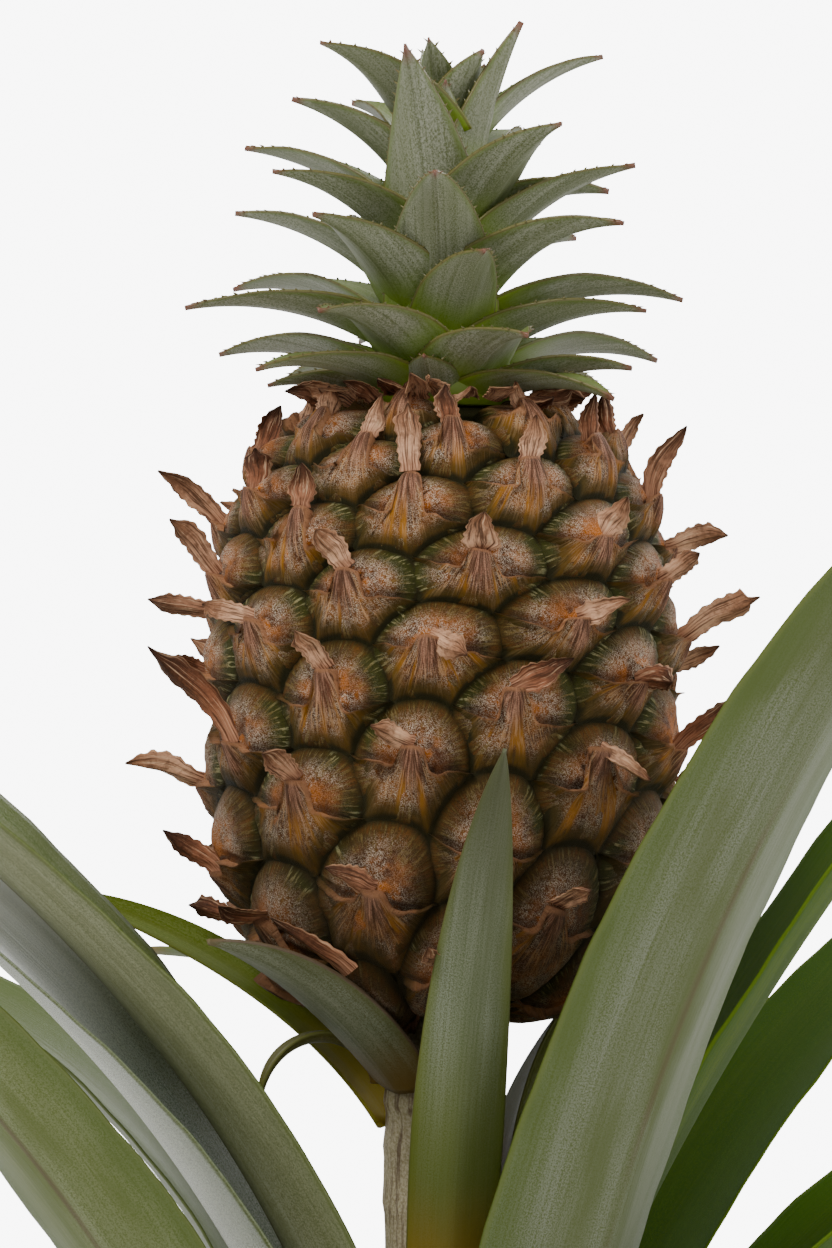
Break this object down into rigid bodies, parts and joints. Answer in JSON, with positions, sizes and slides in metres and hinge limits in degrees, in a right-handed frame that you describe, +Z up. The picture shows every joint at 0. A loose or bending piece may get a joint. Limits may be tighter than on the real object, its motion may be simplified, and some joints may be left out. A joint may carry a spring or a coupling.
{
  "type": "potted pineapple plant",
  "caption": "Pineapple plant in a round clay pot: a ripening fruit with its leafy crown stands on a stout stalk above a rosette of long channelled leaves.",
  "frame": {"origin": "centre of the pot's underside, on the surface the pot stands on", "axes": "+Z up along the stem, -Y towards the viewer of the picture, +X to the viewer's right"},
  "size_m": [0.5798, 0.5515, 0.5055],
  "materials": {
    "pot": "matt unglazed terracotta",
    "soil": "loose dark potting soil, matt",
    "stem": "pale beige-grey skin with purplish streaks, satin",
    "fruit": "woody brown rind with olive margins and pale fuzz, dry tan bract tips",
    "crown": "waxy grey-green leaves with brown tips, satin",
    "stalk_leaf": "waxy grey-green leaf, satin",
    "leaf": "waxy striated grey-green leaf, satin"
  },
  "bodies": {
    "root": {"pot": "pot", "soil": "soil", "stem": "stem", "fruit": "fruit", "crown": "crown", "stalk_leaf_1": "stalk_leaf", "stalk_leaf_2": "stalk_leaf", "stalk_leaf_3": "stalk_leaf", "stalk_leaf_4": "stalk_leaf", "stalk_leaf_5": "stalk_leaf", "leaf_01": "leaf", "leaf_02": "leaf", "leaf_03": "leaf", "leaf_04": "leaf", "leaf_05": "leaf", "leaf_06": "leaf", "leaf_07": "leaf", "leaf_08": "leaf", "leaf_09": "leaf", "leaf_10": "leaf", "leaf_11": "leaf", "leaf_12": "leaf", "leaf_13": "leaf", "leaf_14": "leaf", "leaf_15": "leaf", "leaf_16": "leaf", "leaf_17": "leaf", "leaf_18": "leaf", "leaf_19": "leaf", "leaf_20": "leaf"}
  },
  "joints": []
}
